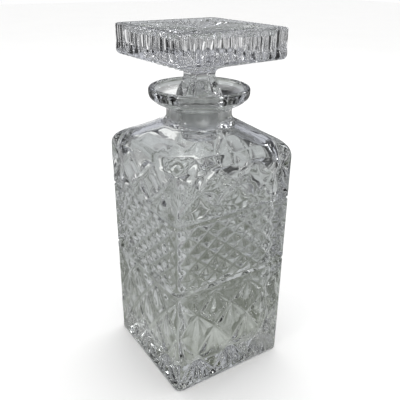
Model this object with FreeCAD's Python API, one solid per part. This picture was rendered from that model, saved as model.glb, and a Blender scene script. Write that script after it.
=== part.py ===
import FreeCAD, Part
import math
import os

from FreeCAD import Vector

# A square pressed-glass decanter with a lift-out glass stopper.
# Millimetres, +Z up, origin at the middle of the base, each body face square to X or Y.
# The stopper is drawn seated in the neck; it pulls out along +Z.

# Body
BODY_WIDTH = 90.0  # across two opposite faces
EDGE_RADIUS = 5.3  # the four upright edges
BODY_HEIGHT = 163.4  # base to where the plain shoulder would meet the upright faces
SHOULDER_RISE = 14.9  # from there up to the neck
SHOULDER_SOFTNESS = 6.4  # how far below the shoulder the rounding starts
WALL = 6.5  # glass behind the deepest cut is this less the cut
FLOOR = 14.0  # thick base
INNER_EDGE_RADIUS = 10.0

# Neck and pouring rim
NECK_RADIUS = 21.2
NECK_LENGTH = 8.9  # from the neck base to the underside of the flange
RIM_RADIUS = 32.4
RIM_RISE = 11.6  # from the underside of the flange to the top of the rim
RIM_LIP = 1.9  # width of the rounded lip
BORE_RADIUS = 12.9  # at the mouth of the ground bore
BORE_TAPER = 0.04  # radius lost per millimetre of depth

# Cut bands, levels as shares of the body height
LOWER_NOTCH = 0.493
UPPER_NOTCH = 0.781
LOWER_ROWS = (0.031, 0.154, 0.270, 0.367, 0.447)  # the large diamonds stretch towards the base
MIDDLE_SPAN = (0.508, 0.766)
UPPER_SPAN = (0.823, 0.973)
NOTCH_DEPTH = 1.9
NOTCH_HALF = 1.7
CUT_MARGIN = 3.15  # upright edge to the outermost cut
LARGE_ACROSS = 3  # large diamonds across one face
SMALL_ACROSS = 6  # small diamonds across one face
SMALL_HALF_ROWS = 7  # half diamonds up the middle band
LARGE_CUT = 2.2  # depth of the grooves round the large diamonds
SMALL_CUT = 1.7
UPPER_CUT = 1.9
PROUD = 0.25  # how far a cut pyramid would stand proud before the face trims it flat

# Stopper
HEAD_WIDTH = 78.0  # across the foot of the flutes
HEAD_DRAFT = 1.1  # each side leans in by this towards the top
HEAD_HEIGHT = 18.6
HEAD_RISE = 29.4  # from the flange underside to the foot of the flutes
HEAD_CORNER = 4.2
HEAD_BEVEL = 0.8
FLUTES = 11  # on each side of the head
FLUTE_CUT = 1.35
STAR_MARGIN = 3.4  # plain border round the star on top
STAR_RAYS = 8  # per side
STAR_CUT = 2.3
STAR_CENTRE = 1.5
UNDERSIDE_SLOPE = 13.0  # degrees
STEM_WIDTH = 14.8  # narrowest, across its flats
PLUG_LENGTH = 24.2
PLUG_ROUND = 2.4
FIT_CLEARANCE = 0.05  # radial, plug in bore
STOPPER_TURN = 2.2  # degrees round the neck, as the stopper was last put back

HALF = BODY_WIDTH / 2
SHOULDER_Z = BODY_HEIGHT
NECK_BASE_Z = SHOULDER_Z + SHOULDER_RISE
FLANGE_Z = NECK_BASE_Z + NECK_LENGTH
RIM_Z = FLANGE_Z + RIM_RISE
MOUTH_Z = FLANGE_Z - 1.2
HEAD_Z = FLANGE_Z + HEAD_RISE
TOP_Z = HEAD_Z + HEAD_HEIGHT


def rounded_square(z, half, radius):
    """Level wire of four flats and four corner arcs, always in the same order."""
    flat = half - radius
    edges = []
    for k in range(4):
        turn = math.pi / 2 * k
        out = Vector(math.cos(turn), math.sin(turn), 0)
        along = Vector(-math.sin(turn), math.cos(turn), 0)
        lift = Vector(0, 0, z)
        begin = out * half - along * flat + lift
        end = out * half + along * flat + lift
        middle = (out + along) * (flat + radius / math.sqrt(2)) + lift
        after = along * half + out * flat + lift
        edges.append(Part.LineSegment(begin, end).toShape())
        edges.append(Part.Arc(end, middle, after).toShape())
    return Part.Wire(edges)


def stack(sections):
    """Solid ruled through (z, half width, corner radius) sections."""
    return Part.makeLoft([rounded_square(*s) for s in sections], True, True)


def turned(points):
    """Solid of revolution from (radius, z) points that start and end on the axis."""
    loop = [Vector(r, 0, z) for r, z in points]
    face = Part.Face(Part.makePolygon(loop + loop[:1]))
    return face.revolve(Vector(0, 0, 0), Vector(0, 0, 1), 360)


def arc_points(centre, radius, start, stop, count):
    """(radius, z) points round an arc, angles in degrees from straight out."""
    found = []
    for i in range(count + 1):
        a = math.radians(start + (stop - start) * i / count)
        found.append((centre[0] + radius * math.cos(a), centre[1] + radius * math.sin(a)))
    return found


def cutter(facets, lid):
    """Solid between facets (triangles of Vectors) and the same triangles laid flat by lid."""
    faces = []
    seen = {}
    for tri in facets:
        top = [lid(p) for p in tri]
        faces.append(Part.Face(Part.makePolygon(list(tri) + [tri[0]])))
        faces.append(Part.Face(Part.makePolygon(top + [top[0]])))
        for a, b in ((0, 1), (1, 2), (2, 0)):
            key = frozenset(tuple(round(c, 5) for c in tri[n]) for n in (a, b))
            seen.setdefault(key, []).append((tri[a], tri[b]))
    for uses in seen.values():
        if len(uses) == 1:
            a, b = uses[0]
            faces.append(Part.Face(Part.makePolygon([a, b, lid(b), lid(a), a])))
    shell = Part.makeShell(faces)
    shell.sewShape()
    solid = Part.makeSolid(shell)
    if solid.Volume < 0:
        solid.reverse()
    return solid


def diamond_cutter(columns, rows, groove_parity, depth, petals):
    """Cutter for one band on the -Y face.

    Grooves cross where column plus row has the groove parity, and every other grid point is
    the crown of a diamond. Each quarter of a diamond is a fan of petals from its upper or
    lower corner to its level diagonal.
    """

    def point(i, j, sink):
        return Vector(columns[i], -HALF + sink, rows[j])

    facets = []
    for i in range(len(columns)):
        for j in range(len(rows)):
            if (i + j) % 2 == groove_parity:
                continue
            for side in (i - 1, i + 1):
                if not 0 <= side < len(columns):
                    continue
                spokes = []
                for n in range(petals + 1):
                    share = n / petals
                    sink = -PROUD + (depth + PROUD) * share
                    if 0 < n < petals:
                        sink += 0.36 * depth if n % 2 else -0.14 * depth
                    x = columns[i] + (columns[side] - columns[i]) * share
                    spokes.append(Vector(x, -HALF + sink, rows[j]))
                for tip in (j - 1, j + 1):
                    if not 0 <= tip < len(rows):
                        continue
                    corner = point(i, tip, depth)
                    for a, b in zip(spokes, spokes[1:]):
                        facets.append((corner, a, b))
    return cutter(facets, lambda p: Vector(p.x, -HALF - 3, p.z))


def even(low, high, count):
    """count + 1 evenly spaced values from low to high."""
    return [low + (high - low) * n / count for n in range(count + 1)]


def levels(shares):
    return [share * BODY_HEIGHT for share in shares]


def face_cutters():
    """The three cut bands of the -Y face."""
    edge = HALF - CUT_MARGIN
    large = even(-edge, edge, 2 * LARGE_ACROSS)
    small = even(-edge, edge, 2 * SMALL_ACROSS)
    return [
        diamond_cutter(large, levels(LOWER_ROWS), 0, LARGE_CUT, 3),
        diamond_cutter(small, even(*levels(MIDDLE_SPAN), SMALL_HALF_ROWS), 1, SMALL_CUT, 1),
        diamond_cutter(large, even(*levels(UPPER_SPAN), 2), 0, UPPER_CUT, 1),
    ]


def shoulder_half(z, drop):
    """Half width of the plain sloping shoulder at z, dropped straight down by drop."""
    share = (z + drop - SHOULDER_Z) / (NECK_BASE_Z - SHOULDER_Z)
    return HALF + (NECK_RADIUS - HALF) * share


def outside():
    """The bottle's outer shape before its diamonds are cut."""
    radius = EDGE_RADIUS
    sections = [(0, HALF - 0.9, radius - 0.6), (1.4, HALF, radius)]
    for notch in levels((LOWER_NOTCH, UPPER_NOTCH)):
        sections += [
            (notch - NOTCH_HALF, HALF, radius),
            (notch, HALF - NOTCH_DEPTH, radius - 0.8),
            (notch + NOTCH_HALF, HALF, radius),
        ]
    start = SHOULDER_Z - SHOULDER_SOFTNESS
    finish = SHOULDER_Z + 0.45 * SHOULDER_SOFTNESS
    sections.append((start, HALF, radius))
    for share in (0.25, 0.5, 0.75):
        # a quadratic curve from the upright face into the slope
        z = start * (1 - share) ** 2 + SHOULDER_Z * 2 * share * (1 - share) + finish * share**2
        half = HALF * (1 - share**2) + shoulder_half(finish, 0) * share**2
        sections.append((z, half, radius + (0.3 * half - radius) * share))
    for share in (0.0, 0.3, 0.6, 0.85):
        z = finish + (NECK_BASE_Z - finish) * share
        half = shoulder_half(z, 0)
        sections.append((z, half, half * (0.30 + 0.62 * share)))
    sections.append((NECK_BASE_Z, NECK_RADIUS + 0.6, NECK_RADIUS + 0.3))
    body = stack(sections)

    neck = [(0, NECK_BASE_Z - 5), (NECK_RADIUS + 3.9, NECK_BASE_Z - 2.9)]
    # a soft curve from the slope up into the neck
    neck += [(NECK_RADIUS + 2.1, NECK_BASE_Z - 1.1), (NECK_RADIUS + 0.95, NECK_BASE_Z + 0.3)]
    neck += [(NECK_RADIUS + 0.25, NECK_BASE_Z + 1.9), (NECK_RADIUS, NECK_BASE_Z + 3.7)]
    # the rim is a saucer: its underside bellies out and its edge is upright
    reach = RIM_RADIUS - NECK_RADIUS
    neck.append((NECK_RADIUS, FLANGE_Z - 0.12 * RIM_RISE))
    for out, up in ((0.36, 0.07), (0.66, 0.22), (0.92, 0.44), (1.0, 0.55)):
        neck.append((NECK_RADIUS + out * reach, FLANGE_Z + up * RIM_RISE))
    neck += arc_points((RIM_RADIUS - RIM_LIP, RIM_Z - RIM_LIP), RIM_LIP, 0, 90, 5)
    neck += [(0, RIM_Z)]
    return body.fuse(turned(neck))


def bore_radius(z):
    return BORE_RADIUS - BORE_TAPER * (MOUTH_Z - z)


def inside():
    """The space the drink fills, the ground bore and the dished rim, as one solid."""
    half = HALF - WALL
    radius = INNER_EDGE_RADIUS
    drop = WALL / math.cos(math.atan2(NECK_BASE_Z - SHOULDER_Z, HALF - NECK_RADIUS))
    sections = [
        (FLOOR, half - 8.0, radius - 1.5),
        (FLOOR + 1.0, half - 4.4, radius - 0.8),
        (FLOOR + 3.4, half - 1.6, radius - 0.2),
        (FLOOR + 8.0, half, radius),
    ]
    turn_in = SHOULDER_Z - SHOULDER_SOFTNESS - 2.6
    sections.append((turn_in, half, radius))
    sections.append((turn_in + 4.0, half - 0.9, radius + 0.8))
    sections.append((turn_in + 7.0, half - 2.9, radius + 1.8))
    low = turn_in + 9.5
    throat_z = NECK_BASE_Z - 4.6
    for share, roundness in ((0.0, 0.42), (0.4, 0.58), (0.75, 0.82)):
        z = low + (throat_z - low) * share
        wide = min(shoulder_half(z, drop), half - 5.0)
        sections.append((z, wide, wide * roundness))
    sections.append((throat_z, BORE_RADIUS + 2.4, BORE_RADIUS + 1.9))
    sections.append((throat_z + 1.6, BORE_RADIUS + 0.3, BORE_RADIUS))
    hollow = stack(sections)

    throat = [(0, throat_z - 3.0), (BORE_RADIUS + 0.2, throat_z - 3.0)]
    throat += [(BORE_RADIUS + 1.2, throat_z + 0.2), (bore_radius(throat_z + 2.6), throat_z + 2.6)]
    throat += [(BORE_RADIUS, MOUTH_Z), (BORE_RADIUS + 1.1, MOUTH_Z + 1.5), (BORE_RADIUS + 2.8, MOUTH_Z + 2.9)]
    edge = (RIM_RADIUS - RIM_LIP, RIM_Z)
    base = (BORE_RADIUS + 2.8, MOUTH_Z + 2.9)
    for share in (0.25, 0.5, 0.75, 0.92):
        # hollow-ground dish, a little deeper than a straight cone
        sag = 1.5 * 4 * share * (1 - share)
        r = base[0] + (edge[0] - base[0]) * share
        z = base[1] + (edge[1] - base[1]) * share - sag
        throat.append((r, z))
    throat += [edge, (RIM_RADIUS - RIM_LIP + 0.2, RIM_Z + 3), (0, RIM_Z + 3)]
    return hollow.fuse(turned(throat))


def decanter_body():
    glass = outside().cut(inside())
    tools = []
    for shape in face_cutters():
        for k in range(4):
            turned_tool = shape.copy()
            turned_tool.rotate(Vector(0, 0, 0), Vector(0, 0, 1), 90 * k)
            tools.append(turned_tool)
    return glass.cut(Part.makeCompound(tools))


def fluted_square(z, half, corner, cut):
    """Level wire round the head, each side pressed into upright V flutes."""
    points = []
    reach = half - corner
    for k in range(4):
        turn = math.pi / 2 * k
        out = Vector(math.cos(turn), math.sin(turn), 0)
        along = Vector(-math.sin(turn), math.cos(turn), 0)
        for n, t in enumerate(even(-reach, reach, 2 * FLUTES)):
            depth = half - (cut if n % 2 else 0.0)
            points.append(out * depth + along * t + Vector(0, 0, z))
        points.append((out + along) * (half - 0.29 * corner) + Vector(0, 0, z))
    return Part.makePolygon(points + points[:1])


def star_cutter():
    """Cutter for the star pressed into the top of the head."""
    half = HEAD_WIDTH / 2 - HEAD_DRAFT - STAR_MARGIN
    border = []
    for k in range(4):
        turn = math.pi / 2 * k
        out = Vector(math.cos(turn), math.sin(turn), 0)
        along = Vector(-math.sin(turn), math.cos(turn), 0)
        for t in even(-half, half, STAR_RAYS)[:-1]:
            sink = STAR_CUT if len(border) % 2 else 0.12
            border.append(out * half + along * t + Vector(0, 0, TOP_Z - sink))
    centre = Vector(0, 0, TOP_Z - STAR_CENTRE)
    facets = [(centre, a, b) for a, b in zip(border, border[1:] + border[:1])]
    return cutter(facets, lambda p: Vector(p.x, p.y, TOP_Z + 3))


def stopper():
    half = HEAD_WIDTH / 2
    lean = HEAD_DRAFT * (1 - HEAD_BEVEL / HEAD_HEIGHT)
    head = Part.makeLoft(
        [
            fluted_square(HEAD_Z, half - 0.5, HEAD_CORNER, FLUTE_CUT),
            fluted_square(HEAD_Z + 1.2, half, HEAD_CORNER, FLUTE_CUT),
            fluted_square(TOP_Z - HEAD_BEVEL, half - lean, HEAD_CORNER, FLUTE_CUT),
            fluted_square(TOP_Z, half - lean - HEAD_BEVEL, HEAD_CORNER, FLUTE_CUT),
        ],
        True,
        True,
    )
    head = head.cut(star_cutter())

    stem = STEM_WIDTH / 2
    under = half - FLUTE_CUT - 0.9
    fall = (under - stem - 5.0) * math.tan(math.radians(UNDERSIDE_SLOPE))
    knee = HEAD_Z - fall
    waist = MOUTH_Z + 0.76 * (knee - MOUTH_Z)
    bell = MOUTH_Z + 0.62 * (knee - MOUTH_Z)
    sections = [
        (HEAD_Z + 0.4, under, HEAD_CORNER - 1),
        (HEAD_Z, under, HEAD_CORNER - 1),
        (knee, stem + 5.0, 2.0),
        (knee - 1.5, stem + 1.8, 1.5),
        (knee - 3.4, stem + 0.3, 1.0),
        (waist, stem, 0.8),
        (bell, stem + 0.15 * (BORE_RADIUS - stem), 0.9),
        (MOUTH_Z + 13.0, stem + 0.33 * (BORE_RADIUS - stem), 1.0),
        (MOUTH_Z + 8.5, stem + 0.60 * (BORE_RADIUS - stem), 1.4),
        (MOUTH_Z + 4.6, stem + 0.73 * (BORE_RADIUS - stem), 2.8),
        (MOUTH_Z + 2.2, stem + 0.80 * (BORE_RADIUS - stem), 6.4),
        (MOUTH_Z + 0.2, BORE_RADIUS - 0.7, BORE_RADIUS - 1.2),
    ]
    shank = stack(sections)

    foot = MOUTH_Z - PLUG_LENGTH
    plug = [(0, foot)]
    end = bore_radius(foot) - FIT_CLEARANCE
    plug += arc_points((end - PLUG_ROUND, foot + PLUG_ROUND), PLUG_ROUND, -90, 0, 5)
    plug += [
        (bore_radius(MOUTH_Z - 0.6) - FIT_CLEARANCE, MOUTH_Z - 0.6),
        (BORE_RADIUS - 0.8, MOUTH_Z + 0.4),
        (0, MOUTH_Z + 0.4),
    ]
    piece = head.fuse(shank).fuse(turned(plug))
    piece.rotate(Vector(0, 0, 0), Vector(0, 0, 1), STOPPER_TURN)
    return piece


PARTS = {"decanter_body": decanter_body, "stopper": stopper}

os.makedirs("parts", exist_ok=True)
for name, make in PARTS.items():
    shape = make()
    solids = shape.Solids
    if len(solids) != 1 or not shape.isValid():
        raise SystemExit(f"{name}: {len(solids)} solids, valid {shape.isValid()}")
    solids[0].exportStep(f"parts/{name}.step")
    box = solids[0].BoundBox
    print(name, len(solids[0].Faces), "faces", round(solids[0].Volume / 1000, 1), "cm3",
          [round(v, 2) for v in (box.XLength, box.YLength, box.ZLength)])
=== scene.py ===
import math

import bpy
import numpy as np
from mathutils import Matrix, Vector


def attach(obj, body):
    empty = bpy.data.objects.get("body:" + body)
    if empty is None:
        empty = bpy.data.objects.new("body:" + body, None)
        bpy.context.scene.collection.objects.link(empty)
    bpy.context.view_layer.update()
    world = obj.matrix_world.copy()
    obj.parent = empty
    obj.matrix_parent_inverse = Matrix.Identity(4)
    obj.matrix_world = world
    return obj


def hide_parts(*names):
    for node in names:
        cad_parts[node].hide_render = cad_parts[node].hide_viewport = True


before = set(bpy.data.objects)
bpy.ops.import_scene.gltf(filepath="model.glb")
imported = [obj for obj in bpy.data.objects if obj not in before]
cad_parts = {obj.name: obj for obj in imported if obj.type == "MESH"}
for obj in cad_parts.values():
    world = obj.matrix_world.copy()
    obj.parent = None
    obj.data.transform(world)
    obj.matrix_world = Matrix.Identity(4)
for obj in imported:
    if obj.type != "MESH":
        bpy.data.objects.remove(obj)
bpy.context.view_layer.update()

# ---------------------------------------------------------------- sizes, millimetres
MM = 0.001  # one millimetre in metres

# the bottle, from the middle of its base
HALF = 45.0  # half the width across two flat faces
EDGE_RADIUS = 5.3  # the upright edges
SHOULDER_Z = 163.4  # where face and shoulder would meet if the bend were sharp
SOFT_START, SOFT_END = 157.0, 166.3  # the bend between them
SHOULDER_CORNER = 0.30  # corner radius over half width, where the bend ends
NECK_BASE_Z = 178.3
NECK_RADIUS = 21.2
ROOT_REACH, ROOT_RISE = 3.8, 3.7  # how far the hollow under the neck runs out and up
RIM_RADIUS = 32.4
RIM_Z = 198.8
LIP = 1.9  # radius of the rolled rim
DISH_SAG = 1.5  # how far the pouring dish hangs below a straight cone
MOUTH_Z = 186.0  # top of the ground bore
BORE_RADIUS = 12.9
BORE_TAPER = 0.04  # radius lost for each millimetre down
THROAT_Z = 173.7  # just under the bore
INNER_SHOULDER_Z = 163.9
WALL = 6.5
INNER_CORNER = 10.0
FLOOR_Z = 14.0

# the cuts
CUT_EDGE = 41.85  # centre line of a face to the outermost cut
LOWER_ROWS = (5.1, 25.2, 44.1, 60.0, 73.0)  # heights where the grooves cross
MIDDLE_ROWS = tuple(83.0 + 42.2 * k / 7 for k in range(8))
UPPER_ROWS = (134.5, 146.7, 159.0)
LOWER_DEPTH, MIDDLE_DEPTH, UPPER_DEPTH = 2.2, 1.7, 1.15
PLAIN_Z = 131.4  # plain strip under the upper band
LOWER_NOTCH_Z, LOWER_NOTCH_DEPTH = 80.6, 1.9
UPPER_NOTCH_Z, UPPER_NOTCH_DEPTH = 127.6, 1.9 * 0.65
NOTCH_ROWS = (  # height from the middle of the notch, share of its depth
    (-1.9, 0), (-1.6, 0.06), (-0.5, 0.86), (0.0, 1.0), (0.5, 0.86), (1.6, 0.06), (1.9, 0),
)
NOTCH_SHARPER = 0.8  # the upright edges' radius shrinks by this much at a notch's bottom
BESIDE_CUT = 0.35  # share of a cut's depth that the upright edge next to it takes
GROOVE_SHARE = 0.125  # bottom of a groove, as a share of half a diamond
CUSHION_SWELL = 1.45
PETAL_ACROSS = (0, 0.30, 0.62, 1.0)  # from a petal's ridge to the diamond's side
PETAL_RISE = (1.15, 0.50, 0.74, 0.0)
STEPS = 96  # columns over the cut width of one face
CORNER_STEPS = 6

# the stopper
FIT = 0.05  # gap between plug and bore
PLUG_LENGTH = 24.2
PLUG_ROUND = 2.4  # radius round the plug's foot
GROUND_FOOT_Z = 174.0  # the ground zone runs from here to the mouth
HEAD_FOOT_Z, HEAD_FOOT_HALF, HEAD_FOOT_CORNER = 211.0, 12.4, 2.0  # where the stem opens out
HEAD_Z = 216.6  # lower edge of the head's sides
TOP_Z = 235.2
HEAD_HALF = 39.0
HEAD_CORNER = 4.2
UNDERCUT = 3.0  # the underside stops this far inside the head's sides
RIB_RISE = 1.1
FLUTES = 11  # a side
FLUTE_STEPS = 12
HEAD_CORNER_STEPS = 9
FLUTE_ROWS = (  # height above HEAD_Z, distance inside HEAD_HALF, groove width, groove depth
    (0.2, 1.9, 1.0, 1.8), (0.7, 1.0, 1.0, 2.1), (1.5, 0.4, 1.0, 2.2), (2.5, 0.1, 0.96, 2.2),
    (3.6, 0.0, 0.88, 2.1), (4.8, 0.1, 0.76, 1.9), (6.0, 0.25, 0.62, 1.8), (7.2, 0.35, 0.50, 1.7),
    (7.8, 0.45, 0.44, 1.6), (8.2, 0.40, 0.44, 1.7), (9.4, 0.35, 0.44, 1.8),
    (11.8, 0.30, 0.44, 1.8), (14.4, 0.3, 0.44, 1.8), (17.0, 0.3, 0.44, 1.8),
    (17.7, 0.35, 0.42, 1.6), (18.25, 0.6, 0.38, 1.3), (18.55, 1.1, 0.34, 0.9),
)
STAR_HALF = 34.2
STAR_DROP = 1.2  # the star lies this far below the border, and its middle as far again
STAR_FOLD = 3.3
OUTER_STAR_AT, OUTER_STAR_WIDTH, OUTER_STAR_RISE = 0.80, 0.20, 1.3
STOPPER_TURN = math.radians(2.2)

ROUND_GAP = 1e-4  # a corner radius this much under the half width makes a circle
PRESSED, GROUND, INNER = 0, 1, 2  # finishes, by material slot


# ---------------------------------------------------------------- rings and skins
class Skin:
    """A closed skin built from ring to ring; its faces look out of the glass."""

    def __init__(self):
        self.points = []
        self.faces = []
        self.changes = []
        self.last = []

    def finish(self, index):
        """Faces laid from here on take this finish."""
        self.changes.append((len(self.faces), index))

    def ring(self, points):
        start = len(self.points)
        self.points.extend(points.tolist())
        return list(range(start, start + len(points)))

    def begin(self, points, middle):
        """The first ring, closed to a point on the axis at the height of middle."""
        self.last = self.ring(points)
        self.cap(middle, first=True)

    def lay(self, points, lean=None):
        """Walls from the last ring to a new one of as many points, a third, or three times."""
        after = self.ring(points)
        if len(after) > len(self.last):
            self.to_fine(self.last, after)
        elif len(after) < len(self.last):
            self.to_coarse(self.last, after)
        else:
            self.wall(self.last, after, lean)
        self.last = after

    def wall(self, near, far, lean=None):
        """lean says, face by face, which way the fold runs; 0 is no fold."""
        count = len(near)
        for k in range(count):
            m = (k + 1) % count
            a, b, c, d = near[k], near[m], far[m], far[k]
            if lean is None or lean[k] == 0:
                self.faces.append((a, b, c, d))
            elif lean[k] > 0:
                self.faces += [(a, b, c), (a, c, d)]
            else:
                self.faces += [(a, b, d), (b, c, d)]

    @staticmethod
    def threes(fine, coarse):
        """Each coarse step with the three fine steps beside it."""
        for j in range(len(coarse)):
            f0, f1, f2 = fine[3 * j : 3 * j + 3]
            f3 = fine[(3 * j + 3) % len(fine)]
            yield f0, f1, f2, f3, coarse[j], coarse[(j + 1) % len(coarse)]

    def to_coarse(self, fine, coarse):
        for f0, f1, f2, f3, c0, c1 in self.threes(fine, coarse):
            self.faces += [(f0, f1, c0), (f1, f2, c1, c0), (f2, f3, c1)]

    def to_fine(self, coarse, fine):
        for f0, f1, f2, f3, c0, c1 in self.threes(fine, coarse):
            self.faces += [(c0, f1, f0), (c0, c1, f2, f1), (c1, f3, f2)]

    def cap(self, middle, first=False):
        """Closes the last ring to a point on the axis, at the start or the end of the skin."""
        centre = len(self.points)
        self.points.append((0.0, 0.0, middle))
        for k in range(len(self.last)):
            a, b = self.last[k], self.last[(k + 1) % len(self.last)]
            self.faces.append((centre, b, a) if first else (a, b, centre))

    def piece(self, name, finishes, turn=0.0):
        mesh = bpy.data.meshes.new(name)
        points = np.array(self.points) * MM
        c, s = math.cos(turn), math.sin(turn)
        points[:, :2] = points[:, :2] @ np.array([[c, s], [-s, c]])
        mesh.from_pydata(points.tolist(), [], self.faces)
        for finish in finishes:
            mesh.materials.append(finish)
        index = np.zeros(len(self.faces), dtype=np.int32)
        for start, finish in self.changes:
            index[start:] = finish
        mesh.polygons.foreach_set("material_index", index)
        mesh.validate()
        mesh.shade_smooth()
        obj = bpy.data.objects.new(name, mesh)
        bpy.context.scene.collection.objects.link(obj)
        return obj


def square_ring(shares, half, radius, height, sink=0.0):
    """Points round a rounded square. shares runs from -1 to 1 over each side, 0 at its middle.

    sink moves a point in along its own normal. height is one number or one per point.
    """
    per_side = shares.shape[1]
    flat = half - radius
    length = np.abs(shares) * (flat + math.pi / 4 * radius)
    angle = np.clip((length - flat) / max(radius, 1e-6), 0, math.pi / 2)
    along = np.where(length < flat, length, flat + radius * np.sin(angle))
    out = np.where(length < flat, half, flat + radius * np.cos(angle))
    sign = np.sign(shares)
    sink = np.broadcast_to(sink, shares.shape)
    x = sign * (along - sink * np.sin(angle))
    y = -(out - sink * np.cos(angle))
    points = np.zeros((4, per_side, 3))
    for k in range(4):
        c, s = math.cos(math.pi / 2 * k), math.sin(math.pi / 2 * k)
        points[k, :, 0] = x[k] * c - y[k] * s
        points[k, :, 1] = x[k] * s + y[k] * c
    points[:, :, 2] = np.broadcast_to(height, shares.shape)
    return points.reshape(-1, 3)


def side_shares(first, steps, corner_steps):
    """Shares for one side and the corner after it, repeated for four sides."""
    flat = np.linspace(-first, first, steps + 1)
    corner = first + (2 - 2 * first) * np.arange(1, corner_steps) / corner_steps
    return np.tile(np.concatenate([flat, corner]), (4, 1))


def smooth_path(points, count):
    """Catmull-Rom curve through rows of numbers, as a list of rows, count steps per span."""
    p = np.array(points, dtype=float)
    p = np.vstack([2 * p[0] - p[1], p, 2 * p[-1] - p[-2]])
    rows = []
    for k in range(1, len(p) - 2):
        a, b, c, d = p[k - 1 : k + 3]
        for n in range(count):
            t = n / count
            bend = (2 * a - 5 * b + 4 * c - d) * t**2
            rows.append(0.5 * (2 * b + (c - a) * t + bend + (3 * b - a - 3 * c + d) * t**3))
    rows.append(p[-2])
    return [tuple(row) for row in rows]


def arc(centre, radius, start, stop, count):
    """(z, distance from the axis) round part of a circle; centre is (distance, z)."""
    angles = np.radians(np.linspace(start, stop, count))
    return [(centre[1] + radius * math.sin(a), centre[0] + radius * math.cos(a)) for a in angles]


def circles(profile):
    """Ring sizes (z, half width, corner radius) for a profile of (z, radius)."""
    return [(z, radius, radius - ROUND_GAP) for z, radius in profile]


# ---------------------------------------------------------------- cut patterns
# u and v count half diamonds across and up; a pattern is 0 in a groove and 1 on the face
def fold_distance(value, parity):
    """0 on a groove, 1 half way to the next one."""
    return np.abs(np.mod(value - parity + 1, 2) - 1)


def nearest_groove(u, v, parity):
    return np.minimum(fold_distance(v - u, parity), fold_distance(v + u, parity))


def past_groove(distance, least):
    return np.clip((distance - GROOVE_SHARE) / (1 - GROOVE_SHARE), least, 1)


def small_diamonds(u, v, parity):
    return np.minimum(past_groove(nearest_groove(u, v, parity), 0) * 1.12, 1.0)


def cushions(u, v, parity):
    """Ovals: the distances to both grooves are blended, and the top is domed."""
    a = past_groove(fold_distance(v - u, parity), 1e-4)
    b = past_groove(fold_distance(v + u, parity), 1e-4)
    nearer = (a**-3 + b**-3) ** (-1 / 3) * CUSHION_SWELL
    return 1 - (1 - np.minimum(nearer, 1)) ** 2


def fans(u, v, parity):
    """Large diamonds whose face is pressed into petals that spread from the upper corner."""
    e, f = v - u - parity, v + u - parity
    e_mid = 2 * np.floor(e / 2) + 1
    f_mid = 2 * np.floor(f / 2) + 1
    a = (f - f_mid - (e - e_mid)) / 2
    b = (f - f_mid + (e - e_mid)) / 2
    reach = np.maximum(1 - b, 1e-6)
    petal = np.interp(np.clip(np.abs(a) / reach, 0, 1), PETAL_ACROSS, PETAL_RISE)
    upper = reach * petal
    lower = 1.35 * (1 + b - np.abs(a))
    edge = np.clip((nearest_groove(u, v, parity) - GROOVE_SHARE / 2) / 0.12, 0, 1)
    return np.clip(np.minimum(upper, lower), 0, 1) * edge


def cut_band(rows, half_cells, parity, depth, pattern):
    """(heights, sink per row and column, lean per face) for one band of diamonds."""
    steps = STEPS // half_cells
    levels = [rows[0]]
    for low, high in zip(rows, rows[1:]):
        levels += [low + (high - low) * (n + 1) / steps for n in range(steps)]
    u = np.arange(STEPS + 1) / steps
    v = np.arange(len(levels)) / steps
    uu, vv = np.meshgrid(u, v)
    sink = depth * (1 - pattern(uu, vv, parity))
    um, vm = uu[:-1, :-1] + 0.5 / steps, vv[:-1, :-1] + 0.5 / steps
    rising = fold_distance(vm - um, parity) < fold_distance(vm + um, parity)
    return levels, sink, np.where(rising, 1, -1)


# ---------------------------------------------------------------- bottle
ROOT_RADIUS = NECK_RADIUS + ROOT_REACH
ROOT_Z = NECK_BASE_Z - (ROOT_RADIUS - NECK_RADIUS) * (NECK_BASE_Z - SHOULDER_Z) / (
    HALF - NECK_RADIUS
)


def bore_radius(z):
    return BORE_RADIUS - BORE_TAPER * (MOUTH_Z - z)


def slope_half(z, drop=0.0):
    """Half width of the shoulder's slope, or of a slope that lies drop below it."""
    rise = NECK_BASE_Z - SHOULDER_Z
    return HALF + (NECK_RADIUS - HALF) * (z + drop - SHOULDER_Z) / rise


def shoulder_curve():
    """Rows of (z, half width, corner radius) from the upright faces to the neck's base.

    The corners grow rounder on the way up, until a ring is nearly a circle.
    """
    rows = []
    for t in np.linspace(0, 1, 13):
        z = SOFT_START * (1 - t) ** 2 + SHOULDER_Z * 2 * t * (1 - t) + SOFT_END * t**2
        half = HALF * (1 - t**2) + slope_half(SOFT_END) * t**2
        rounder = (SHOULDER_CORNER * half - EDGE_RADIUS) * t * (0.4 + 0.6 * t)
        rows.append((z, half, EDGE_RADIUS + rounder))
    for t in np.linspace(0, 1, 12)[1:]:
        z = SOFT_END + (NECK_BASE_Z - SOFT_END) * t
        half = slope_half(z)
        rows.append((z, half, half * (SHOULDER_CORNER + 0.68 * t**0.85)))
    return np.array(rows)


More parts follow.
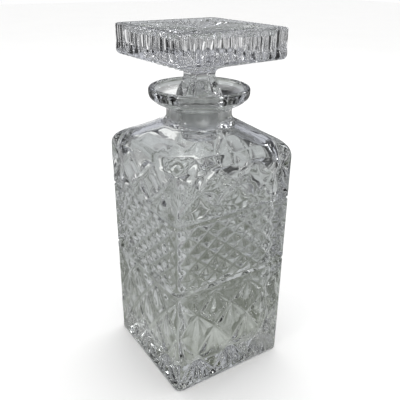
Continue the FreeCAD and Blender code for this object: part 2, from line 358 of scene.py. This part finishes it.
def neck_profile():
    """(z, radius) up the neck, out under the flange, over the rim and down into the bore."""
    profile = []
    root_top = NECK_BASE_Z + ROOT_RISE
    for t in np.linspace(0, 1, 9):
        z = ROOT_Z * (1 - t) ** 2 + NECK_BASE_Z * 2 * t * (1 - t) + root_top * t**2
        profile.append((z, ROOT_RADIUS * (1 - t) ** 2 + NECK_RADIUS * (1 - (1 - t) ** 2)))
    under_flange = [
        (184.0, NECK_RADIUS), (185.7, NECK_RADIUS + 0.1), (186.4, NECK_RADIUS + 0.5),
        (187.0, 22.9), (188.0, 25.3), (189.75, 28.6), (192.2, 31.4), (194.2, 32.25),
        (196.0, RIM_RADIUS),
    ]
    profile += smooth_path(under_flange, 4)
    profile += arc((RIM_RADIUS - LIP, RIM_Z - LIP), LIP, 0, 90, 9)
    low_z, low_radius = MOUTH_Z + 2.9, BORE_RADIUS + 2.8
    high_z, high_radius = RIM_Z - 0.15, RIM_RADIUS - LIP - 0.55
    for t in np.linspace(1, 0, 16):
        sag = DISH_SAG * 4 * t * (1 - t)
        radius = low_radius + (high_radius - low_radius) * t
        profile.append((low_z + (high_z - low_z) * t - sag, radius))
    into_bore = [
        (low_z, low_radius), (MOUTH_Z + 1.6, BORE_RADIUS + 1.1), (MOUTH_Z, BORE_RADIUS),
    ]
    profile += smooth_path(into_bore, 5)[1:]
    return profile + [(z, bore_radius(z)) for z in (183.5, 181.0, 178.6, 176.2)]


def inside_rings():
    """(z, half width, corner radius) from under the bore down to the middle of the floor."""
    half = HALF - WALL
    drop = WALL / math.cos(math.atan2(NECK_BASE_Z - SHOULDER_Z, HALF - NECK_RADIUS))
    shoulder = [
        (175.4, BORE_RADIUS + 0.2, BORE_RADIUS),
        (THROAT_Z, BORE_RADIUS + 2.4, BORE_RADIUS + 1.9),
    ]
    for share, roundness in ((0.75, 0.82), (0.4, 0.58), (0.0, 0.42)):
        z = INNER_SHOULDER_Z + (THROAT_Z - INNER_SHOULDER_Z) * share
        wide = min(slope_half(z, drop), half - 5.0)
        shoulder.append((z, wide, wide * roundness))
    shoulder += [(161.4, half - 2.9, 11.8), (158.4, half - 0.9, 10.8), (154.4, half, INNER_CORNER)]
    upright = [(z, half, INNER_CORNER) for z in np.linspace(150, 26, 32)]
    bottom = [
        (FLOOR_Z + 8.0, half, INNER_CORNER), (FLOOR_Z + 3.4, half - 1.6, 9.8),
        (FLOOR_Z + 1.0, half - 4.4, 9.2), (FLOOR_Z, half - 8.0, 8.5),
        (FLOOR_Z - 0.05, half - 14.0, 8.0),
    ]
    middle = [(FLOOR_Z, 16.0, 7.0), (FLOOR_Z + 0.05, 7.0, 4.0)]
    return smooth_path(shoulder, 4) + upright + smooth_path(bottom, 4) + middle


def decanter_skin():
    """The whole bottle as one skin: out underneath, up, over the rim and down inside."""
    skin = Skin()
    flat = HALF - EDGE_RADIUS
    half_side = flat + math.pi / 4 * EDGE_RADIUS  # half a face and half an edge, unrolled
    cut_angle = math.asin((CUT_EDGE - flat) / EDGE_RADIUS)
    fine = side_shares((flat + EDGE_RADIUS * cut_angle) / half_side, STEPS, CORNER_STEPS)
    coarse = fine[:, ::3]
    shoulder = shoulder_curve()

    def lay(z, sink=None, half=None, radius=None, lean=None):
        if half is None and z > SOFT_START:
            half, radius = (float(np.interp(z, shoulder[:, 0], shoulder[:, n])) for n in (1, 2))
        elif half is None:
            half, radius = HALF, EDGE_RADIUS
        full = np.zeros_like(fine)
        if sink is not None:
            full[:, : STEPS + 1] = sink
            # the upright edge is pressed in a little beside a cut
            full[:, STEPS + 1] = BESIDE_CUT * sink[-1]
            full[:, -1] = BESIDE_CUT * sink[0]
        skin.lay(square_ring(fine, half, radius, z, full), lean)

    def lay_band(rows, half_cells, parity, depth, pattern, lead_in, lead_out):
        levels, sink, lean = cut_band(rows, half_cells, parity, depth, pattern)
        lay(levels[0] - lead_in)
        lay(levels[0], sink[0])
        for k in range(1, len(levels)):
            side = np.zeros(fine.shape[1], dtype=int)
            side[:STEPS] = lean[k - 1]
            lay(levels[k], sink[k], lean=np.tile(side, 4))
        lay(levels[-1] + lead_out * 0.5, sink[-1] * 0.45)
        lay(levels[-1] + lead_out)

    def lay_notch(z, depth):
        for from_middle, share in NOTCH_ROWS:
            half, radius = HALF - depth * share, EDGE_RADIUS - NOTCH_SHARPER * share
            lay(z + from_middle, half=half, radius=radius)

    # underneath, from the middle out, and round the softened edge
    skin.begin(square_ring(coarse, 12.0, 5.0, 0.0), 0.0)
    for half in (26.0, 38.0, 42.4):
        skin.lay(square_ring(coarse, half, 5.0, 0.0))
    for z, half, radius in (
        (0.0, 43.9, 4.6), (0.12, 44.35, 4.8), (0.4, 44.7, 5.0), (0.9, 44.92, 5.2),
        (1.6, HALF, EDGE_RADIUS),
    ):
        lay(z, half=half, radius=radius)

    lay_band(LOWER_ROWS, 6, 0, LOWER_DEPTH, fans, 1.1, 3.2)
    lay_notch(LOWER_NOTCH_Z, LOWER_NOTCH_DEPTH)
    lay_band(MIDDLE_ROWS, 12, 1, MIDDLE_DEPTH, small_diamonds, 0.25, 0.25)
    lay_notch(UPPER_NOTCH_Z, UPPER_NOTCH_DEPTH)
    lay(PLAIN_Z)
    lay_band(UPPER_ROWS, 6, 0, UPPER_DEPTH, cushions, 1.6, 1.5)

    # plain shoulder, neck, flange, rim and bore, then the inside
    rings = [row for row in shoulder if UPPER_ROWS[-1] + 2.0 < row[0] < ROOT_Z - 0.4]
    rings += circles(neck_profile()) + inside_rings()
    mouth_passed = False
    for z, half, radius in rings:
        if not mouth_passed and half < BORE_RADIUS + 0.02:
            mouth_passed = True
            skin.finish(GROUND)
        elif mouth_passed and z < GROUND_FOOT_Z:
            skin.finish(INNER)
        skin.lay(square_ring(coarse, half, radius, z))
    skin.cap(FLOOR_Z + 0.05)
    return skin


# ---------------------------------------------------------------- stopper
def plug_and_stem_rings():
    """(z, half width, corner radius) from the plug's foot to where the stem opens out."""
    foot = MOUTH_Z - PLUG_LENGTH
    end = bore_radius(foot) - FIT
    rings = [(foot + 0.35, 5.0, 4.99), (foot + 0.1, end - 3.4, end - 3.41)]
    rings += circles(arc((end - PLUG_ROUND, foot + PLUG_ROUND), PLUG_ROUND, -90, 0, 7))
    heights = (166.0, 170.0, GROUND_FOOT_Z, 179.0, 183.0, MOUTH_Z - 0.6)
    rings += circles([(z, bore_radius(z) - FIT) for z in heights])
    stem = [
        (MOUTH_Z + 0.3, BORE_RADIUS - 0.75, BORE_RADIUS - 0.95),
        (MOUTH_Z + 2.2, BORE_RADIUS - 1.1, 6.4),
        (MOUTH_Z + 4.6, BORE_RADIUS - 1.5, 2.6),
        (MOUTH_Z + 8.5, BORE_RADIUS - 2.2, 1.1),
        (MOUTH_Z + 13.0, 9.2, 0.8),
        (MOUTH_Z + 15.5, 8.2, 0.7),
        (MOUTH_Z + 18.6, 7.5, 0.7),
        (206.8, 7.45, 0.8),
        (208.4, 7.9, 1.0),
        (209.8, 9.4, 1.5),
        (HEAD_FOOT_Z, HEAD_FOOT_HALF, HEAD_FOOT_CORNER),
    ]
    return rings + smooth_path(stem, 5)


def stopper_skin():
    """The whole stopper as one skin, from the plug's foot to the middle of the star."""
    skin = Skin()
    flat = HEAD_HALF - HEAD_CORNER
    first = flat / (flat + math.pi / 4 * HEAD_CORNER)
    fine = side_shares(first, FLUTES * FLUTE_STEPS, HEAD_CORNER_STEPS)
    coarse = fine[:, ::3]
    column = np.arange(fine.shape[1])
    on_side = column <= FLUTES * FLUTE_STEPS
    phase = np.mod(column, FLUTE_STEPS) / FLUTE_STEPS
    from_groove = np.minimum(phase, 1 - phase)
    fold = np.where(on_side, 2 * from_groove, 0.0)

    def grooves(wide, deep):
        """Upright V grooves between flat panels; wide is the share of half a panel they take."""
        rise = np.clip(1 - 2 * from_groove / wide, 0, 1) ** 1.15
        return np.where(on_side, deep * rise, 0.0)

    def lay(half, radius, z, sink=0.0):
        skin.lay(square_ring(fine, half, radius, z, sink))

    (z, half, radius), *others = plug_and_stem_rings()
    skin.begin(square_ring(coarse, half, radius, z), MOUTH_Z - PLUG_LENGTH + 0.4)
    for z, half, radius in others:
        skin.finish(GROUND if GROUND_FOOT_Z < z < MOUTH_Z else PRESSED)
        skin.lay(square_ring(coarse, half, radius, z))

    # underside of the head, ribbed towards the rim
    for t in np.linspace(0.06, 1, 14):
        half = HEAD_FOOT_HALF + (HEAD_HALF - UNDERCUT - HEAD_FOOT_HALF) * t
        radius = HEAD_FOOT_CORNER + (HEAD_CORNER - HEAD_FOOT_CORNER) * t
        z = HEAD_FOOT_Z + (HEAD_Z - HEAD_FOOT_Z) * t + RIB_RISE * (1 - fold) * t**3
        lay(half, radius, z, grooves(1.0, 1.5) * t**4)
    for up, narrower, wide, deep in FLUTE_ROWS:
        lay(HEAD_HALF - narrower, HEAD_CORNER, HEAD_Z + up, grooves(wide, deep))
    # border
    lay(36.9, HEAD_CORNER, TOP_Z, grooves(0.3, 0.5))
    lay(35.2, HEAD_CORNER - 0.8, TOP_Z, 0.0)
    lay(34.6, HEAD_CORNER - 1.0, TOP_Z - 0.15)
    # pressed star: folds run from the border to the middle, with an outer ring of short ones
    for t in np.linspace(1, 0.04, 26):
        half = STAR_HALF * t
        outer = max(0.0, 1 - abs(t - OUTER_STAR_AT) / OUTER_STAR_WIDTH)
        z = TOP_Z - STAR_DROP - STAR_FOLD * fold * t**0.8 - STAR_DROP * (1 - t)
        z = z + OUTER_STAR_RISE * outer * (1 - fold)
        lay(half, min((HEAD_CORNER - 1.2) * t + 0.01, half * 0.6), z)
    skin.cap(TOP_Z - 1.6)
    return skin


# ---------------------------------------------------------------- shader maths
class Socket:
    """A shader value that takes part in ordinary sums."""

    def __init__(self, tree, link):
        self.tree, self.link = tree, link

    def node(self, kind, settings=None, inputs=None, output=0):
        """A new node of the same tree: its settings first, then its sockets' values or links."""
        made = self.tree.nodes.new(kind)
        for name, value in (settings or {}).items():
            if name == "stops":
                ramp = made.color_ramp
                while len(ramp.elements) < len(value):
                    ramp.elements.new(0.5)
                for element, (place, colour) in zip(ramp.elements, value):
                    element.position, element.color = place, colour
            else:
                setattr(made, name, value)
        for name, value in (inputs or {}).items():
            if isinstance(value, Socket):
                self.tree.links.new(value.link, made.inputs[name])
            else:
                made.inputs[name].default_value = value
        return Socket(self.tree, made.outputs[output] if len(made.outputs) else None)

    def _sum(self, kind, a, b):
        return self.node("ShaderNodeMath", {"operation": kind}, {0: a, 1: b})

    def __add__(self, other):
        return self._sum("ADD", self, other)

    __radd__ = __add__

    def __sub__(self, other):
        return self._sum("SUBTRACT", self, other)

    def __rsub__(self, other):
        return self._sum("SUBTRACT", other, self)

    def __mul__(self, other):
        return self._sum("MULTIPLY", self, other)

    __rmul__ = __mul__

    def __pow__(self, other):
        return self._sum("POWER", self, other)

    def __rpow__(self, other):
        return self._sum("POWER", other, self)

    def step(self, low, high):
        """0 below low, 1 above high, smooth between."""
        return self.node(
            "ShaderNodeMapRange",
            {"interpolation_type": "SMOOTHSTEP", "clamp": True},
            {"Value": self, "From Min": low, "From Max": high, "To Min": 0.0, "To Max": 1.0},
        )

    def noise(self, scale, detail):
        inputs = {"Vector": self, "Scale": scale, "Detail": detail}
        return self.node("ShaderNodeTexNoise", None, inputs)

    def part(self, axis):
        """One part of a vector: 0 for x, 1 for y, 2 for z."""
        return self.node("ShaderNodeSeparateXYZ", None, {"Vector": self}, axis)

    def vector_maths(self, kind, *others):
        inputs = dict(enumerate((self, *others)))
        return self.node("ShaderNodeVectorMath", {"operation": kind}, inputs)

    def bearing(self):
        """The vector shrunk to length 1 on plan, so that a pattern grows with distance."""
        one_over_reach = (self.part(0) ** 2.0 + self.part(1) ** 2.0) ** -0.5
        inputs = {0: self, "Scale": one_over_reach}
        return self.node("ShaderNodeVectorMath", {"operation": "SCALE"}, inputs)

    def mixed(self, a, b):
        """Colour a where this share is 0, b where it is 1."""
        return self.node("ShaderNodeMix", {"data_type": "RGBA"}, {0: self, 6: a, 7: b}, 2)


def new_tree(owner):
    """An empty node tree, as a socket that new nodes can be made from."""
    owner.use_nodes = True
    owner.node_tree.nodes.clear()
    return Socket(owner.node_tree, None)


# ---------------------------------------------------------------- glass
GLASS_IOR = 1.52
TINT = (0.948, 0.957, 0.949)
DEEP_TINT = (0.932, 0.944, 0.932)
FOOT_TINT = (0.940, 0.951, 0.908)
FOOT_TINT_FULL, FOOT_TINT_TOP = 0.02, 0.075  # heights in metres
SMEAR_SCALE = 120.0


def glass(
    name, tint, deep_tint, roughness, ripple_height, ripple_scale=(70, 70, 70), foot_tint=None
):
    """Pressed glass: tint and deep_tint in soft patches, roughness (lowest, highest) too.

    The ripples come from the mould. foot_tint is the colour of the thick glass low down, which
    has faded out by FOOT_TINT_TOP.
    """
    material = bpy.data.materials.new(name)
    start = new_tree(material)
    place = start.node("ShaderNodeTexCoord", output=3)
    smear = place.noise(SMEAR_SCALE, 3.0)
    ripple = place.vector_maths("MULTIPLY", ripple_scale).noise(1.0, 1.5)
    low, high = roughness
    colour = smear.step(0.3, 0.7).mixed((*tint, 1), (*deep_tint, 1))
    if foot_tint:
        near_foot = 1 - place.part(2).step(FOOT_TINT_FULL, FOOT_TINT_TOP)
        colour = near_foot.mixed(colour, (*foot_tint, 1))
    bump = start.node(
        "ShaderNodeBump", None,
        {"Strength": 1.0, "Distance": 1.0, "Height": ripple * ripple_height},
    )
    shader = start.node(
        "ShaderNodeBsdfPrincipled", None,
        {
            "Base Color": colour,
            "Roughness": smear.step(0.4, 0.75) * (high - low) + low,
            "Transmission Weight": 1.0,
            "IOR": GLASS_IOR,
            "Normal": bump,
        },
    )
    start.node("ShaderNodeOutputMaterial", None, {"Surface": shader})
    return material


body_glass = glass(
    "body_glass", TINT, DEEP_TINT, foot_tint=FOOT_TINT,
    roughness=(0.0, 0.015), ripple_height=0.00006,
)
inner_glass = glass(
    "inner_glass", TINT, DEEP_TINT, foot_tint=FOOT_TINT,
    roughness=(0.02, 0.045), ripple_height=0.00030, ripple_scale=(60, 60, 25),
)
ground_glass = glass(
    "ground_glass", (0.93, 0.94, 0.94), (0.90, 0.91, 0.91),
    roughness=(0.34, 0.48), ripple_height=0.00001, ripple_scale=(2200, 2200, 900),
)
stopper_glass = glass(
    "stopper_glass", (0.955, 0.958, 0.960), (0.94, 0.944, 0.948),
    roughness=(0.0, 0.012), ripple_height=0.00006,
)

# ---------------------------------------------------------------- pieces
decanter = decanter_skin().piece("pressed_body", (body_glass, ground_glass, inner_glass))
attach(decanter, "decanter")
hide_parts("decanter_body")

lid = stopper_skin().piece("star_stopper", (stopper_glass, ground_glass), STOPPER_TURN)
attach(lid, "stopper")
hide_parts("stopper")

# ---------------------------------------------------------------- studio
# Floor and room are white to the camera and in soft light. To the glass the floor is no lit
# surface but glows with painted light and shade; the greys and distances (metres) are what it
# shows: a painted shadow beside the bottle's foot, grey further out, and glowing dark and light
# patches that stand for things about the room.
FLOOR_SIZE, FLOOR_DROP = 8.0, 0.0002
FLOOR_PAINT = (0.96, 0.96, 0.955, 1), (0.99, 0.99, 0.985, 1)
WHITE = (1.0, 1.0, 1.0, 1)
# painted shadow of the bottle on the glowing floor: its middle (x, y) and its grey
SHADOW_MIDDLE = (0.09, 0.08)
PAINTED_SHADOW = (0.098, 0.109, 0.08, 1)
CLOSE_LIGHT = (0.54, 0.555, 0.565, 1)
FAR_GREY = (0.30, 0.30, 0.305, 1)
FAR_DARK = (0.02, 0.02, 0.02, 1)
FAR_LIGHT = (1.12, 1.12, 1.12, 1)
GREY_SWEEP = (-0.1, 0.34)
STREAKS, STREAKS_FROM = 0.8, (0.12, 0.34)
SPECKS, SPECKS_UNTIL = 2.2, (0.2, 0.45)
FAR_FROM = (0.36, 0.5)
CLUMPS_FROM, CLUMPS_GROW, LEAST_CLUMPS = (0.3, 0.45), (0.45, 1.1), 0.15
DARK_CLUMPS, LIGHT_CLUMPS = (0.445, 0.485), (0.54, 0.58)
ROOM = [  # from straight down to straight up
    (0.00, (0.20, 0.20, 0.19, 1)),
    (0.50, (0.31, 0.315, 0.32, 1)),
    (0.60, (0.35, 0.355, 0.368, 1)),
    (0.80, (0.34, 0.345, 0.36, 1)),
    (1.00, (0.34, 0.345, 0.36, 1)),
]
CLUTTER_DARK, DARK_CLUTTER = (0.07, 0.07, 0.07, 1), (0.44, 0.48)
CLUTTER_LIGHT, LIGHT_CLUTTER = (2.5, 2.5, 2.5, 1), (0.53, 0.57)
CLUTTER_RISE = 1.4
FRONT_SIDE, BACK_SIDE = (1.2, 1.19, 1.17, 1), (0.66, 0.665, 0.70, 1)
BACK_WAY = (0.55, 0.835)


def painted_floor_light(place):
    """The floor's glow for rays that the glass gathers: painted shadow near the foot, painted
    light further out, and glowing dark and light patches.
    """
    middle_x, middle_y = SHADOW_MIDDLE
    out = ((place.part(0) - middle_x) ** 2.0 + (place.part(1) - middle_y) ** 2.0) ** 0.5
    streaks = (place.noise(12.0, 2.0) - 0.5) * STREAKS * out.step(*STREAKS_FROM)
    specks = (place.noise(28.0, 2.0) - 0.5) * SPECKS * (1 - out.step(*SPECKS_UNTIL))
    sweep = out.step(*GREY_SWEEP) + streaks + specks
    # painted shadow near the foot, fading out to painted light further away
    grey = sweep.step(0.0, 1.0).mixed(PAINTED_SHADOW, CLOSE_LIGHT)
    grey = out.step(*FAR_FROM).mixed(grey, FAR_GREY)
    clumps = place.bearing().noise(3.5, 2.0)
    strength = out.step(*CLUMPS_GROW) * (1 - LEAST_CLUMPS) + LEAST_CLUMPS
    strength = strength * out.step(*CLUMPS_FROM)
    grey = ((1 - clumps.step(*DARK_CLUMPS)) * strength).mixed(grey, FAR_DARK)
    return (clumps.step(*LIGHT_CLUMPS) * strength).mixed(grey, FAR_LIGHT)


def lay_floor():
    bpy.ops.mesh.primitive_plane_add(size=FLOOR_SIZE, location=(0, 0, -FLOOR_DROP))
    floor = bpy.context.object
    floor.name = "studio_floor"
    material = bpy.data.materials.new("pale_floor")
    start = new_tree(material)
    place = start.node("ShaderNodeTexCoord", output=3)
    paint = place.noise(5.0, 3.0).mixed(*FLOOR_PAINT)
    bare = start.node(
        "ShaderNodeBsdfPrincipled", None,
        {"Base Color": paint, "Roughness": 0.8, "Specular IOR Level": 0.0},
    )
    # the floor glows with painted light and shade for rays from the glass; the camera sees it lit
    floor_glow = start.node(
        "ShaderNodeEmission", None, {"Color": painted_floor_light(place), "Strength": 1.0}
    )
    seen = start.node("ShaderNodeLightPath", output=0)
    shader = start.node("ShaderNodeMixShader", None, {0: seen, 1: floor_glow, 2: bare})
    start.node("ShaderNodeOutputMaterial", None, {"Surface": shader})
    floor.data.materials.append(material)


def fill_room():
    """White for what is seen bare and for soft light, and a plain room for the glass."""
    world = bpy.data.worlds.new("studio")
    bpy.context.scene.world = world
    start = new_tree(world)
    way = start.node("ShaderNodeTexCoord", output=0)
    room = start.node("ShaderNodeValToRGB", {"stops": ROOM}, {"Fac": way.part(2) * 0.5 + 0.5})
    bearing = way.vector_maths("MULTIPLY", (1.0, 1.0, 0.0)).bearing()
    bearing = way.vector_maths("MULTIPLY_ADD", (0.0, 0.0, CLUTTER_RISE), bearing)
    clutter = bearing.noise(4.5, 2.0)
    shade = clutter.step(*DARK_CLUTTER).mixed(CLUTTER_DARK, WHITE)
    shade = clutter.step(*LIGHT_CLUTTER).mixed(shade, CLUTTER_LIGHT)
    behind = (way.part(0) * BACK_WAY[0] + way.part(1) * BACK_WAY[1]).step(-0.7, 0.7)
    for layer in (shade, behind.mixed(FRONT_SIDE, BACK_SIDE)):
        settings = {"data_type": "RGBA", "blend_type": "MULTIPLY"}
        room = start.node("ShaderNodeMix", settings, {0: 1.0, 6: room, 7: layer}, 2)
    seen = start.node("ShaderNodeLightPath", output=0)
    soft = start.node("ShaderNodeLightPath", output=2)
    white = start.node("ShaderNodeMath", {"operation": "MAXIMUM"}, {0: seen, 1: soft})
    inputs = {"Color": white.mixed(room, WHITE), "Strength": 1.0}
    back = start.node("ShaderNodeBackground", None, inputs)
    start.node("ShaderNodeOutputWorld", None, {"Surface": back})


def soft_box(name, place, aim_height, size, power, colour=(1, 1, 1)):
    """A soft lamp aimed at a height on the axis."""
    light = bpy.data.lights.new(name, "AREA")
    light.shape = "RECTANGLE"
    light.size, light.size_y = size
    light.energy = power
    light.color = colour
    obj = bpy.data.objects.new(name, light)
    obj.location = place
    way = Vector((0, 0, aim_height)) - Vector(place)
    obj.rotation_euler = way.to_track_quat("-Z", "Y").to_euler()
    bpy.context.scene.collection.objects.link(obj)


lay_floor()
fill_room()
soft_box("top_box", (0.15, 0.25, 1.4), 0.1, (0.5, 0.5), 3.0)
soft_box("left_box", (-1.3, -0.2, 0.75), 0.12, (0.16, 0.42), 1.6, (1.0, 0.99, 0.97))
soft_box("right_box", (1.2, 0.2, 0.7), 0.12, (0.14, 0.40), 1.4, (0.95, 0.97, 1.0))

# ---------------------------------------------------------------- camera
CAMERA_PLACE = (-0.17472, -0.26973, 0.26594)
CAMERA_AZIMUTH, CAMERA_PITCH, CAMERA_ROLL = -0.58304, 0.44466, -0.01159  # radians
FOCAL_LENGTH, SENSOR_WIDTH = 45.329, 36.0  # millimetres
SHIFT_ACROSS, SHIFT_UP = -0.0051, 0.0200


def camera_turn():
    """The camera's right, up and backward directions, as a turn."""
    on_plan = math.cos(CAMERA_PITCH)
    back_x, back_y = math.sin(CAMERA_AZIMUTH) * on_plan, -math.cos(CAMERA_AZIMUTH) * on_plan
    back = Vector((back_x, back_y, math.sin(CAMERA_PITCH)))
    level = Vector((math.cos(CAMERA_AZIMUTH), math.sin(CAMERA_AZIMUTH), 0))
    down = (-back).cross(level)
    right = level * math.cos(CAMERA_ROLL) + down * math.sin(CAMERA_ROLL)
    under = level * -math.sin(CAMERA_ROLL) + down * math.cos(CAMERA_ROLL)
    return Matrix((right, -under, back)).transposed().to_4x4()


camera_data = bpy.data.cameras.new("camera")
camera_data.sensor_width = SENSOR_WIDTH
camera_data.lens = FOCAL_LENGTH
camera_data.shift_x = SHIFT_ACROSS
camera_data.shift_y = SHIFT_UP
camera = bpy.data.objects.new("camera", camera_data)
camera.matrix_world = Matrix.Translation(CAMERA_PLACE) @ camera_turn()
scene = bpy.context.scene
scene.collection.objects.link(camera)
scene.camera = camera
scene.view_settings.view_transform = "Standard"
# light is turned back many times inside cut glass
scene.cycles.max_bounces = 32
scene.cycles.glossy_bounces = 7
scene.cycles.transmission_bounces = 28
